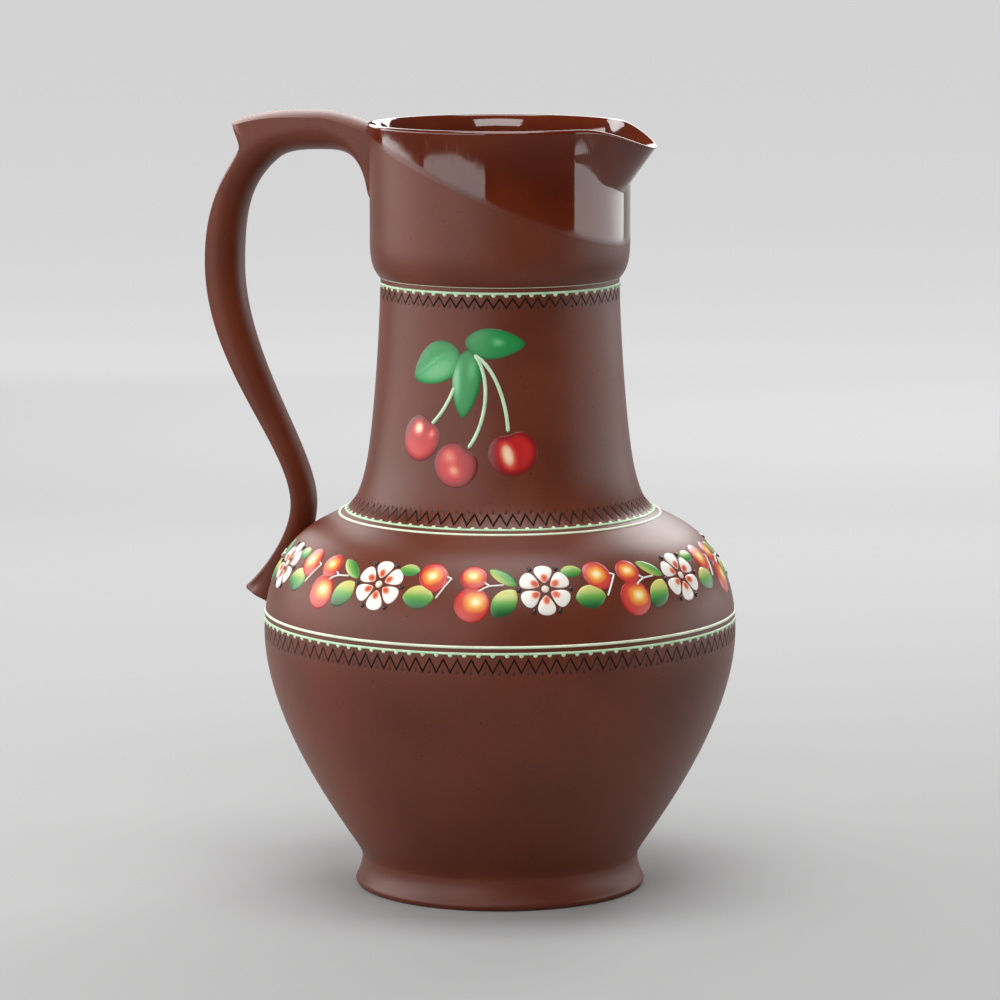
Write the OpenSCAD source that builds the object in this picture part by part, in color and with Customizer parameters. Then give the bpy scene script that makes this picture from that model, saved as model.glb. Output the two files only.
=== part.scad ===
// Wheel-thrown earthenware jug with a pulled spout, a strap handle and raised slip decoration.
// The clay is thrown in sections that are luted together, glazed inside and on the collar.
// It stands on z = 0 with its axis on Z, the spout towards +X and the handle towards -X.

/* [Foot] */
// Widest radius of the foot
foot_r = 53.2; // [51.5:0.1:58]
// Height of the foot's widest edge above the table
foot_edge_h = 2; // [1:0.5:4]
// How far the foot's lower edge is rounded inwards
foot_round = 1.6; // [0.5:0.1:3]
// Lean of the foot's side, in degrees inwards from upright
foot_lean = 26; // [10:1:40]
// Radius of the waist, where the belly is luted on the foot
waist_r = 50.8; // [48:0.1:56]
// Height of the waist
waist_h = 11; // [9:0.5:16]
// Radius of the recess under the foot, which holds the plug of the belly's floor
recess_r = 44; // [36:0.5:46]
// Depth of the recess under the foot
recess_h = 8; // [6.5:0.5:9]

/* [Body] */
// Thickness of the thrown wall
wall = 5; // [3.5:0.1:6.5]
// Thickness of the floor
floor_t = 6; // [4:0.5:9]
// Radius where the belly's straight flare starts
flare_r = 56; // [54:0.1:60]
// Height of that place above the waist
flare_rise = 9.2; // [7:0.1:13]
// Lean of the flare, in degrees outwards from upright
flare_lean = 33; // [24:1:40]
// Radius of the belly at its widest
belly_r = 86.4; // [78:0.1:96]
// Height of the widest place
belly_h = 95; // [84:0.5:110]
// Radius where the shoulder turns into the neck's flared root
shoulder_r = 67; // [62:0.1:72]
// Height of that place above the widest place
shoulder_rise = 38.6; // [34:0.1:46]
// Lean of the shoulder there, in degrees inwards from upright
shoulder_lean = 61; // [50:1:68]
// Radius where the neck's root ends
root_r = 49.7; // [47:0.1:55]
// Height of the root's end above the shoulder
root_rise = 18.4; // [15:0.1:24]
// Lean of the neck there, in degrees inwards from upright
root_lean = 15; // [8:1:22]
// Radius of the neck at its top
neck_r = 43.5; // [40:0.1:46]
// Height of the neck above its root, up to where the collar is luted on
neck_h = 72; // [60:0.5:84]

/* [Collar and spout] */
// Radius of the collar
collar_r = 47.4; // [46:0.1:54]
// Height of the rounded underside of the collar
collar_round_h = 13; // [9:0.5:18]
// Wall of the collar, also the thickness of its rounded lip
collar_wall = 4.4; // [3.4:0.1:5.6]
// Height of the rim above the neck's top
rim_h = 56; // [46:0.5:64]
// How far the spout's tip stands out from the collar
spout_reach = 10.2; // [6:0.1:15]
// How far the spout's tip droops below the rim
spout_drop = 7.7; // [3:0.1:10]
// Height of the stretch of wall that is pulled out into the spout
spout_h = 21; // [16:0.5:28]
// Angle of the rim that is pulled out, to each side of the tip
spout_half_angle = 50; // [36:1:64]

/* [Glaze] */
// Thickness of the glaze
glaze_t = 0.4; // [0.3:0.05:0.8]
// How far below the rim the dipped line lies, at the middle of its slope
dip_h = 23; // [20:0.5:26]
// Tilt of the dipped line, in degrees, lowest under the spout
dip_tilt = 23; // [0:0.5:25]

/* [Handle] */
// Width of the strap from the collar to the grip
strap_w = 22; // [16:0.5:28]
// Width of the strap where it narrows above the shoulder
strap_low_w = 18; // [13:0.5:24]
// Crown of the strap's outer face
strap_crown = 1.2; // [0.6:0.1:3]
// Thickness of the upper arm
arm_t = 14.6; // [11:0.1:18]
// Rise of the upper arm's crest above the rim
arm_rise = 3.6; // [1:0.1:8]
// Distance of the crest from the collar
arm_out = 21.6; // [16:0.1:28]
// Thickness of the strap at the grip
grip_t = 12.5; // [10:0.1:16]
// Distance of the grip's outer face from the collar
grip_out = 63.7; // [56:0.1:74]
// Drop of the grip below the rim
grip_drop = 53; // [46:0.5:60]
// Thickness of the strap where it narrows
low_t = 8.3; // [6.5:0.1:12]
// How far the thumb rest overhangs the crest
thumb_out = 32.4; // [30:0.1:38]
// Thickness of the thumb rest at its root
thumb_t = 8.5; // [6:0.1:10]
// Length of the thumb rest's rounded end
thumb_round = 6.6; // [4:0.1:9]
// Crown of the thumb rest at its end
thumb_crown = 2.6; // [1:0.1:4]
// Distance of the tail's tip from the belly
tail_out = 10.6; // [6:0.1:15]
// Height of the tail's tip above the belly's widest place
tail_rise = 12; // [10:0.5:18]

/* [Slip lines] */
// Width of a trailed line
line_w = 1.1; // [0.8:0.1:1.6]
// Width of a dot on a dotted line
dot_w = 1.2; // [0.8:0.1:1.8]
// Distance between the plain and the dotted line of a band
line_gap = 2.3; // [2:0.1:4]
// Height of the upper band's plain line above the neck's top
upper_rise = 0.5; // [0:0.1:2]
// Dots round the upper band
upper_dots = 60; // [40:1:80]
// Height of the middle band's plain line above the turn of the shoulder
middle_rise = 4.5; // [3.5:0.1:6]
// Distance between the middle band's lines, up the steep shoulder
middle_gap = 1.8; // [1.6:0.1:3]
// Dots round the middle band
middle_dots = 72; // [50:1:90]
// Height of the lower band's plain line above the widest place
lower_rise = 7.2; // [5:0.1:8]
// Dots round the lower band
lower_dots = 108; // [80:1:130]

/* [Painted relief] */
// Thickness of the relief slip
relief_t = 0.4; // [0.3:0.05:0.8]
// Height of the flowers' centres above the widest place
flower_rise = 26.7; // [24:0.1:29]
// Flowers round the shoulder
flowers = 8; // [4:1:8]
// Angle between flowers, which leaves room for the handle's tail
flower_pitch = 43; // [38:0.5:45]
// Radius of a flower
flower_r = 9.6; // [7:0.1:11]
// Petals of a flower
petals = 6; // [5:1:7]
// Width of a petal
petal_w = 6; // [4:0.1:7]
// Radius of a flower's centre
centre_r = 1.4; // [1:0.1:2]
// Radius of the dark beads between the petals
bead_r = 0.8; // [0.5:0.1:1.2]
// Width of a frieze twig
twig_w = 0.9; // [0.6:0.1:1.4]
// Diameter of a cherry
cherry_d = 17; // [13:0.5:19]
// Drop of the lowest cherry below the middle of the neck's bare wall
sprig_drop = 20; // [17:0.5:23]
// Width of a cherry's stem
stem_w = 1.1; // [0.7:0.1:1.6]

/* [Hidden] */

clay_colour = "#6e4033";
glazed_colour = "#57240f";
cream_colour = "#dfe6c9";
mint_colour = "#b9dcbf";
cherry_colour = "#b52f33";
leaf_colour = "#2f8a4d";
petal_colour = "#efe9e2";
bead_colour = "#3a2a24";
berry_colour = "#d9533a";

// Points of a smooth stretch from a to b, leaving a and reaching b in given directions
function on_stretch(a, dir_a, pull_a, b, dir_b, pull_b, t) =
    let (p = a + pull_a * [cos(dir_a), sin(dir_a)],
         q = b - pull_b * [cos(dir_b), sin(dir_b)],
         s = 1 - t)
    s * s * s * a + 3 * s * s * t * p + 3 * s * t * t * q + t * t * t * b;
function stretch(a, dir_a, pull_a, b, dir_b, pull_b, n) =
    [for (i = [0:n]) on_stretch(a, dir_a, pull_a, b, dir_b, pull_b, i / n)];

// Part of a list, a list without its first item, and a list turned round
function span(list, first, last) = [for (i = [first:last]) list[i]];
function rest(list) = span(list, 1, len(list) - 1);
function turned(list) = [for (i = [len(list) - 1:-1:0]) list[i]];

// A line of points moved sideways, to the right of its direction
function shifted(line, by) =
    let (last = len(line) - 1)
    [for (i = [0:last])
        let (d = line[min(i + 1, last)] - line[max(i - 1, 0)])
        line[i] + by * [d[1], -d[0]] / norm(d)];

// Direction of a wall that leans inwards by so many degrees, and of level ground
function leaning(lean) = 90 + lean;
upright = leaning(0);
flat = 0;

// Outline of the outer wall, from the foot to the neck's top
waist = [waist_r, waist_h];
flare = [flare_r, waist_h + flare_rise];
widest = [belly_r, belly_h];
turn = [shoulder_r, belly_h + shoulder_rise];
root = [root_r, turn[1] + root_rise];
neck_top = [neck_r, root[1] + neck_h];
rim_z = neck_top[1] + rim_h;
foot_edge = [foot_r, foot_edge_h];

// How hard each stretch of the outline keeps its direction at its ends, as a share of its length
foot_pull = 0.6;
waist_pull = 0.22;
flare_pull = 0.15;
belly_pull = 0.38;
crest_pull = 0.62;
turn_pull = 0.125;
root_low_pull = 0.52;
root_top_pull = 0.56;
neck_low_pull = 0.2;
neck_top_pull = 0.17;
foot_steps = 6;
waist_steps = 5;
belly_steps = 14;
shoulder_steps = 14;
root_steps = 10;
neck_steps = 12;

foot_side = concat(
    stretch([foot_r - foot_round, 0], flat, foot_round / 2, foot_edge, upright, foot_edge_h / 2, foot_steps),
    rest(stretch(foot_edge, leaning(foot_lean), (waist_h - foot_edge_h) * foot_pull,
                 waist, upright, flare_rise * waist_pull, foot_steps)));
flare_chord = norm(widest - flare);
shoulder_chord = norm(turn - widest);
root_chord = norm(root - turn);
neck_chord = norm(neck_top - root);
side = concat(
    stretch(waist, upright, flare_rise * waist_pull,
            flare, leaning(-flare_lean), flare_rise * waist_pull, waist_steps),
    rest(stretch(flare, leaning(-flare_lean), flare_chord * flare_pull,
                 widest, upright, flare_chord * belly_pull, belly_steps)),
    rest(stretch(widest, upright, shoulder_chord * crest_pull,
                 turn, leaning(shoulder_lean), shoulder_chord * turn_pull, shoulder_steps)),
    rest(stretch(turn, leaning(shoulder_lean), root_chord * root_low_pull,
                 root, leaning(root_lean), root_chord * root_top_pull, root_steps)),
    rest(stretch(root, leaning(root_lean), neck_chord * neck_low_pull,
                 neck_top, upright, neck_chord * neck_top_pull, neck_steps)));
flare_i = waist_steps;
belly_i = flare_i + belly_steps;
// The belly and the shoulder are luted just above the widest place, under the lower dotted line
seam_i = belly_i + 1;
turn_i = belly_i + shoulder_steps;
root_i = turn_i + root_steps;
top_i = root_i + neck_steps;

// The cavity: the wall's thickness inside the outer wall, down to a rounded floor
inner = shifted(side, -wall);
floor_h = recess_h + floor_t;
floor_r = inner[flare_i][0] - (inner[flare_i][1] - floor_h);
floor_pull = (inner[flare_i][1] - floor_h) / 2;
floor_steps = 5;
floor_line = concat(
    [[0, floor_h]],
    stretch([floor_r, floor_h], flat, floor_pull, inner[flare_i], leaning(-flare_lean), floor_pull,
            floor_steps));
cavity = concat(floor_line, span(inner, flare_i + 1, top_i));
cavity_seam_i = len(floor_line) - 1 + seam_i - flare_i;

// Section of the collar: outside, rounded lip and inside
collar_h = neck_top[1] + collar_round_h;
lip_r = collar_wall / 2;
lip_h = rim_z - lip_r;
collar_steps = 5;
spout_steps = 3;
lip_steps = 6;
under_dir = 45;
under_pull = 0.3;
collar_pull = 0.5;
throat_pull = 0.4;
spout_low = rim_z - spout_h;
wall_heights = concat(
    [collar_h],
    [for (i = [0:spout_steps]) spout_low + (lip_h - spout_low) * i / spout_steps]);
collar_under = stretch(neck_top, under_dir, collar_round_h * under_pull,
                       [collar_r, collar_h], upright, collar_round_h * collar_pull, collar_steps);
collar_under_in = stretch(inner[top_i], upright, collar_round_h * throat_pull,
                          [collar_r - collar_wall, collar_h], upright, collar_round_h * throat_pull,
                          collar_steps);
collar_wall_line = [for (z = wall_heights) [collar_r, z]];
collar_inner_line = [for (z = wall_heights) [collar_r - collar_wall, z]];
lip_line = [for (i = [1:lip_steps - 1])
    [collar_r - lip_r, lip_h] + lip_r * [cos(180 * i / lip_steps), sin(180 * i / lip_steps)]];
collar_section = concat(
    collar_under, rest(collar_wall_line), lip_line,
    turned(collar_inner_line), rest(turned(collar_under_in)));

// The spout: a place on the collar's section moved out and down, most at the tip and at the rim
spout_sharpness = 3;
spout_ease = 1.4;
function spout_share(angle) =
    abs(angle) < spout_half_angle ? pow(cos(90 * angle / spout_half_angle), spout_sharpness) : 0;
function spout_lift(z) = pow(max(0, (z - spout_low) / spout_h), spout_ease);
function poured(p, angle) =
    let (pull = spout_share(angle) * spout_lift(p[1]))
    [p[0] + spout_reach * pull, p[1] - spout_drop * pull];
function at_angle(p, angle) = [p[0] * cos(angle), p[0] * sin(angle), p[1]];
collar_sides = 60;
collar_angles = [for (i = [0:collar_sides - 1]) -180 + 360 * i / collar_sides];

// Outside of the jug without spout and handle, as a solid of revolution, grown by the glaze at the lip
lip_core = [for (i = [0:lip_steps / 2])
    [collar_r - lip_r, lip_h] + (lip_r + glaze_t) * [cos(180 * i / lip_steps), sin(180 * i / lip_steps)]];
core_line = concat(foot_side, rest(side), rest(collar_under), [[collar_r, lip_h - glaze_t]], lip_core);
core = concat([[0, 0]], core_line, [[0, rim_z + glaze_t]]);
wall_table = [for (p = core_line) [p[1], p[0]]];

// Radius of the outer wall at a height, and how far the wall faces upwards there
slope_step = 0.5;
function wall_r(z) = lookup(z, wall_table);
function wall_tilt(z) = atan2(wall_r(z - slope_step) - wall_r(z + slope_step), 2 * slope_step);

// Skin of a piece made of rings of points, looped round or closed with an end face at each end
module loft(rings, looped) {
    n = len(rings);
    m = len(rings[0]);
    points = [for (ring = rings) each ring];
    sides = [for (i = [0:n - (looped ? 1 : 2)], j = [0:m - 1])
        let (a = i * m, b = (i + 1) % n * m, k = (j + 1) % m)
        each [[a + j, a + k, b + k], [a + j, b + k, b + j]]];
    ends = looped ? [] : [[for (j = [m - 1:-1:0]) j], [for (j = [0:m - 1]) (n - 1) * m + j]];
    polyhedron(points, concat(sides, ends));
}

// A place on the outer wall, with x round the jug, y up the wall and z out of it
module on_wall(angle, z) {
    rotate([0, 0, angle])
        translate([wall_r(z), 0, z])
            rotate([0, -wall_tilt(z), 0])
                rotate([90, 0, 90])
                    children();
}

// Slip laid on the wall in the outlines given as children, each already in its place on the wall
relief_reach = 8;
module relief(first, last) {
    line = span(side, first, last);
    intersection() {
        rotate_extrude() polygon(concat(line, turned(shifted(line, relief_t))));
        union() children();
    }
}

module blank() {
    linear_extrude(relief_reach, center = true) children();
}

// Outline of a leaf, petal or fruit along y, pointed where point is over 1, fuller at the top by swell
blade_steps = 8;
function blade(length, width, point, swell) =
    let (edge = [for (i = [0:blade_steps])
        let (b = 180 * i / blade_steps, y = -cos(b) / 2)
        [width / 2 * pow(sin(b), point) * (1 + swell * y), length * y]])
    concat(edge, [for (i = [blade_steps - 1:-1:1]) [-edge[i][0], edge[i][1]]]);

// Outline of a cherry, dimpled where its stem comes in
fruit_steps = 20;
dimple = 0.2;
dimple_angle = 24;
function cherry(width, height) =
    [for (i = [0:fruit_steps - 1])
        let (b = 360 * i / fruit_steps - 180, r = (1 - dimple * exp(-pow(b / dimple_angle, 2))) / 2)
        [-r * width * sin(b), r * height * cos(b)]];

// Outline of a trailed stroke of even width along a line of points
function stroke(line, width) = concat(shifted(line, width / 2), turned(shifted(line, -width / 2)));

module foot_ring() {
    color(clay_colour)
        rotate_extrude()
            polygon(concat([[recess_r, 0]], foot_side, [[recess_r, waist_h]]));
}

module belly() {
    plug = [[0, recess_h], [recess_r, recess_h], [recess_r, waist_h]];
    color(clay_colour)
        rotate_extrude()
            polygon(concat(plug, span(side, 0, seam_i), turned(span(cavity, 0, cavity_seam_i))));
}

module wall_section(first, last) {
    color(clay_colour)
        rotate_extrude()
            polygon(concat(span(side, first, last), turned(span(inner, first, last))));
}

module shoulder() {
    wall_section(seam_i, turn_i);
}

module neck() {
    wall_section(turn_i, top_i);
}

module collar() {
    color(clay_colour)
        loft([for (a = collar_angles) [for (p = collar_section) at_angle(poured(p, a), a)]], true);
}

// The strap: a section between an outer and an inner rail, crowned outside and rounded inside
crown_steps = 4;
under_steps = 8;
side_fullness = 0.75;
function strap_section(out, under, half_w, crown) =
    let (depth = norm(under - out), d = (under - out) / depth)
    concat(
        [for (i = [0:crown_steps])
            let (s = 2 * i / crown_steps - 1, q = out + crown * s * s * d)
            [-q[0], -half_w * s, q[1]]],
        [for (i = [1:under_steps - 1])
            let (b = 180 * i / under_steps,
                 x = sign(cos(b)) * pow(abs(cos(b)), side_fullness),
                 q = out + (crown + (depth - crown) * pow(sin(b), side_fullness)) * d)
            [-q[0], -half_w * x, q[1]]]);

// Places on the strap's outer and inner faces, as distance from the axis and height
down = -90;
strap_steps = 9;
root_drop = 34;
corner_in = 12.7;
corner_drop = 12.6;
corner_t = [10.8, 8.6];
arm_under_in = 2;
grip_under_drop = 1;
low_gap = 4;
low_rise = 5;
tail_end_drop = 4.6;
arm = [collar_r + arm_out, rim_z + arm_rise];
grip = [collar_r + grip_out, rim_z - grip_drop];
corner = [grip[0] - corner_in, arm[1] - corner_drop];
low = [shoulder_r + low_t + low_gap, turn[1] + low_rise];
tail = [belly_r + tail_out, belly_h + tail_rise];
arm_root = [collar_r - lip_r, lip_h];
arm_root_under = [collar_r, rim_z - root_drop];
arm_under = [arm[0] - arm_under_in, arm[1] - arm_t];
corner_under = corner - corner_t;
grip_under = grip - [grip_t, grip_under_drop];
low_under = low - [low_t, 0];
tail_under = [belly_r - wall, tail[1] - tail_end_drop];

// Rails through those places, each with its direction and how hard it is kept before and after
function rail(points, dirs, pulls) =
    [for (k = [0:len(points) - 2])
        each span(stretch(points[k], dirs[k], pulls[k][1], points[k + 1], dirs[k + 1], pulls[k + 1][0],
                          strap_steps), k == 0 ? 0 : 1, strap_steps)];
outer_dirs = [20, flat, -60, down, down, -40];
outer_pulls = [[0, 8], [8, 12], [8, 8], [25, 40], [22, 12], [8, 0]];
outer_rail = rail([arm_root, arm, corner, grip, low, tail], outer_dirs, outer_pulls);
inner_dirs = [88, flat, -52, down, down, -70];
inner_pulls = [[0, 20], [13, 9], [8, 13], [20, 34], [20, 12], [10, 0]];
inner_rail = rail([arm_root_under, arm_under, corner_under, grip_under, low_under, tail_under],
                  inner_dirs, inner_pulls);
grip_k = 3;
function strap_half_w(i) =
    let (past = min(1, max(0, i / strap_steps - grip_k)))
    (strap_w + (strap_low_w - strap_w) * past) / 2;

// Rails of the thumb rest, which carries the arm's face on past the bend to a rounded end
thumb_steps = 10;
thumb_drop = 5.2;
thumb_back = 5.4;
thumb_dir = -22;
thumb_pulls = [12, 10];
thumb_tip_share = 0.15;
thumb_taper = 0.8;
least_share = 0.1;
thumb_start = arm - [thumb_back, 0];
thumb_end = arm + [thumb_out, -thumb_drop];
function thumb_section(t) =
    let (p = on_stretch(thumb_start, flat, thumb_pulls[0], thumb_end, thumb_dir, thumb_pulls[1], t),
         past = max(0, (p[0] - thumb_end[0] + thumb_round) / thumb_round),
         share = max(least_share, pow(max(0, 1 - past), thumb_taper)),
         depth = thumb_t * (thumb_tip_share + (1 - thumb_tip_share) * share * share),
         crown = strap_crown + (thumb_crown - strap_crown) * t)
    strap_section(p, p - [0, depth], strap_w / 2 * share, crown * share);

module handle() {
    color(clay_colour)
        difference() {
            union() {
                loft([for (i = [0:len(outer_rail) - 1])
                    strap_section(outer_rail[i], inner_rail[i], strap_half_w(i), strap_crown)], false);
                loft([for (i = [0:thumb_steps]) thumb_section(sin(90 * i / thumb_steps))], false);
            }
            rotate_extrude() polygon(core);
        }
}

module glaze_lining() {
    color(glazed_colour)
        rotate_extrude()
            polygon(concat(cavity, turned(shifted(cavity, -glaze_t))));
}

// The dipped glaze: over the lip, inside down to the neck and outside down to a slanting line
function dip_line(angle) =
    min(lip_h - glaze_t, max(collar_h, rim_z - dip_h - collar_r * tan(dip_tilt) * cos(angle)));
dip_steps = 4;
function dipped(angle) =
    let (low = dip_line(angle))
    concat([for (i = [0:dip_steps]) [collar_r, low + (lip_h - low) * i / dip_steps]],
           lip_line, turned(collar_inner_line), rest(turned(collar_under_in)));
module glaze_dip() {
    color(glazed_colour)
        loft([for (a = collar_angles)
            let (line = dipped(a))
            [for (p = concat(shifted(line, glaze_t), turned(line))) at_angle(poured(p, a), a)]], true);
}

// Section of trailed slip: a low dome on the wall, which may lie a little above or below a height
dome_steps = 6;
dome_share = 0.8;
function dome(z, width, along) =
    let (tilt = wall_tilt(z),
         middle = [wall_r(z), z] + along * [-sin(tilt), cos(tilt)])
    [for (i = [0:dome_steps])
        let (b = 180 * i / dome_steps, x = width / 2 * cos(b), y = width / 2 * dome_share * sin(b))
        middle + [y * cos(tilt) + x * sin(tilt), y * sin(tilt) - x * cos(tilt)]];

// A trailed line round the jug, and the same with a row of dots along its edge
module slip_line(z) {
    rotate_extrude() polygon(dome(z, line_w, 0));
}

dot_gap = 0.05;
module dotted_line(z, above, count) {
    along = above * (line_w / 2 + dot_gap + dot_w / 2);
    dot_angle = dot_w / wall_r(z) * 180 / PI;
    slip_line(z);
    for (i = [0:count - 1])
        rotate([0, 0, 360 * i / count])
            rotate_extrude(angle = dot_angle)
                polygon(dome(z, dot_w, along));
}

upper_z = neck_top[1] + upper_rise;
middle_z = turn[1] + middle_rise;
lower_z = belly_h + lower_rise;
hanging = -1;
standing = 1;

module upper_line() {
    color(cream_colour) slip_line(upper_z);
}

module upper_dotted_line() {
    color(mint_colour) dotted_line(upper_z - line_gap, hanging, upper_dots);
}

module middle_line() {
    color(cream_colour) slip_line(middle_z);
}

module middle_dotted_line() {
    color(mint_colour) dotted_line(middle_z + middle_gap, standing, middle_dots);
}

module lower_line() {
    color(cream_colour) slip_line(lower_z);
}

module lower_dotted_line() {
    color(mint_colour) dotted_line(lower_z - line_gap, hanging, lower_dots);
}

// The cherry sprig, on the side between the spout and the handle.
// Each row gives the angle from the sprig's middle and the drop below its root, then turn and size.
// Drops and sizes of the sprig are in cherry diameters.
sprig_angle = -90;
cherry_rows = [[-22, 1.82, -28, 0.94, 1.03], [-4.2, 2.34, -35, 0.98, 0.98], [20.6, 2.08, 14, 1.06, 0.98]];
sprig_leaf_rows = [[-16.6, 0.28, 121, 1.26, 0.68], [13.6, -0.21, -88, 1.21, 0.59],
                   [-1.5, 0.68, 175, 1.35, 0.56]];
lowest_drop = max([for (row = cherry_rows) row[1]]);
sprig_z = (upper_z + middle_z) / 2 - sprig_drop + lowest_drop * cherry_d;
leaf_point = 1.5;
fruit_point = 1;

module cherry_fruits() {
    color(cherry_colour)
        relief(turn_i, top_i)
            for (row = cherry_rows)
                on_wall(sprig_angle + row[0], sprig_z - cherry_d * row[1])
                    blank() rotate(row[2]) polygon(cherry(cherry_d * row[3], cherry_d * row[4]));
}

module cherry_leaves() {
    color(leaf_colour)
        relief(turn_i, top_i)
            for (row = sprig_leaf_rows)
                on_wall(sprig_angle + row[0], sprig_z - cherry_d * row[1])
                    blank()
                        rotate(row[2])
                            polygon(blade(cherry_d * row[3], cherry_d * row[4], leaf_point, 0));
}

// Stems as strokes in the sprig's own plane: start, direction, end, direction, pull
stem_rows = [[[-0.42, -0.89], -110, [-0.76, -1.44], -135, 0.24],
             [[0.29, -0.26], -58, [0.07, -1.88], -128, 0.53],
             [[0.4, -0.25], -42, [0.87, -1.56], -90, 0.44]];
stem_steps = 8;
stem_reach = 30;
module cherry_stems() {
    color(mint_colour)
        relief(turn_i, top_i)
            on_wall(sprig_angle, sprig_z)
                linear_extrude(stem_reach, center = true)
                    for (row = stem_rows)
                        let (line = stretch(row[0], row[1], row[4], row[2], row[3], row[4], stem_steps))
                            polygon(stroke(cherry_d * line, stem_w));
}

// The flower frieze round the shoulder, open under the handle's tail
flower_z = belly_h + flower_rise;
flower_angles = [for (i = [0:flowers - 1]) (i - (flowers - 1) / 2) * flower_pitch];
petal_in = 2.3;
petal_swell = 0.5;
centre_sides = 24;
bead_sides = 16;
bead_ring = 0.97;
tail_clearance = 14;
function clear_of_tail(angle) = abs(angle) < 180 - tail_clearance;

module flower_petals() {
    length = flower_r - petal_in;
    color(petal_colour)
        relief(belly_i, root_i)
            for (a = flower_angles)
                on_wall(a, flower_z)
                    blank()
                        for (k = [0:petals - 1])
                            rotate(360 * k / petals)
                                translate([0, petal_in + length / 2])
                                    polygon(blade(length, petal_w, fruit_point, petal_swell));
}

module flower_centres() {
    color(petal_colour)
        relief(belly_i, root_i)
            for (a = flower_angles)
                on_wall(a, flower_z) blank() circle(centre_r, $fn = centre_sides);
}

module flower_beads() {
    color(bead_colour)
        relief(belly_i, root_i)
            for (a = flower_angles)
                on_wall(a, flower_z)
                    blank()
                        for (k = [0:petals - 1])
                            rotate(360 * (k + 0.5) / petals)
                                translate([0, bead_ring * flower_r]) circle(bead_r, $fn = bead_sides);
}

// Rows of the frieze: angle from the flower, rise above it, turn, length and width.
// Rises and sizes are in flower radii.
berry_rows = [[-18.3, 0.46, 0, 1.04, 1.04], [-18.4, -0.61, 0, 1.38, 1.35], [14.9, 0.44, 25, 1.27, 1]];
frieze_leaf_rows = [[-10.6, 0.48, 55, 1.23, 0.5], [-10.5, -0.54, -40, 1.31, 0.88],
                    [7.7, 0.65, -90, 0.84, 0.54], [11.7, -0.39, -88, 1.23, 0.94]];
twig_rows = [[-13.6, 0.18, [[0.56, -0.04], [0, 0], [-0.11, 0.1]]],
             [-13.6, 0.18, [[-0.06, -0.08], [-0.14, -0.12], [-0.21, -0.19]]],
             [18, 0, [[0.18, 0.46], [0.27, 0.38], [-0.1, -0.31]]]];

module frieze_items(rows, point) {
    relief(belly_i, root_i)
        for (a = flower_angles, row = rows)
            if (clear_of_tail(a + row[0]))
                on_wall(a + row[0], flower_z + flower_r * row[1])
                    blank() rotate(row[2]) polygon(blade(flower_r * row[3], flower_r * row[4], point, 0));
}

module frieze_berries() {
    color(berry_colour) frieze_items(berry_rows, fruit_point);
}

module frieze_leaves() {
    color(leaf_colour) frieze_items(frieze_leaf_rows, leaf_point);
}

module frieze_twigs() {
    color(petal_colour)
        relief(belly_i, root_i)
            for (a = flower_angles, row = twig_rows)
                if (clear_of_tail(a + row[0]))
                    on_wall(a + row[0], flower_z + flower_r * row[1])
                        blank() polygon(stroke(flower_r * row[2], twig_w));
}

foot_ring();
belly();
shoulder();
neck();
collar();
handle();
glaze_lining();
glaze_dip();
upper_line();
upper_dotted_line();
middle_line();
middle_dotted_line();
lower_line();
lower_dotted_line();
cherry_fruits();
cherry_leaves();
cherry_stems();
flower_petals();
flower_centres();
flower_beads();
frieze_berries();
frieze_leaves();
frieze_twigs();
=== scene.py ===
import bisect
import math

import bmesh
import bpy
from mathutils import Euler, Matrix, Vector, geometry
from mathutils.bvhtree import BVHTree


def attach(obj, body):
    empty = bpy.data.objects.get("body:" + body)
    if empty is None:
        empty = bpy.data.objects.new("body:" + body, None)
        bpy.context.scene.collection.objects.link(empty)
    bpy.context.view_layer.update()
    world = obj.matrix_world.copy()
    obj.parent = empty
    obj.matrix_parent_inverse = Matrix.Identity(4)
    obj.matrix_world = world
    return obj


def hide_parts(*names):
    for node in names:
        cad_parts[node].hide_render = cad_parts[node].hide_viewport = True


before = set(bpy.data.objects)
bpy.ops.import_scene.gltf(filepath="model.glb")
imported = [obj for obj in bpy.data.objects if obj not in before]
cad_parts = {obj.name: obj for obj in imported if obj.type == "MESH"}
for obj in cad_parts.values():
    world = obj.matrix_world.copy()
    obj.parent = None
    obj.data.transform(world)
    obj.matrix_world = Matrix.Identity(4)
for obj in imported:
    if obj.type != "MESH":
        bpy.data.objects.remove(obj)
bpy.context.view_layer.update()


# Turned foot
# A ring of red clay, turned on the wheel with a leaning side and a rounded lower edge.
# The belly's floor sits in its recess and is luted to it with slip at the waist.
mm = 0.001
foot_r = 53.2
foot_edge_h = 2.0
foot_round = 1.6
foot_lean = 116.0
foot_pull = 5.4
recess_r = 44.0
waist = Vector((50.8, 11.0))
waist_pull = 2.024
up = 90.0


def toward(angle, length):
    """A step of this length at an angle in degrees, as (away from the axis, up)."""
    return Vector((math.cos(math.radians(angle)), math.sin(math.radians(angle)))) * length


def stretch(start, start_dir, start_pull, end, end_dir, end_pull, steps):
    """A smooth stretch of outline that leaves and arrives in set directions, in mm."""
    leave = start + toward(start_dir, start_pull)
    arrive = end - toward(end_dir, end_pull)
    return geometry.interpolate_bezier(start, leave, arrive, end, steps + 1)


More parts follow.
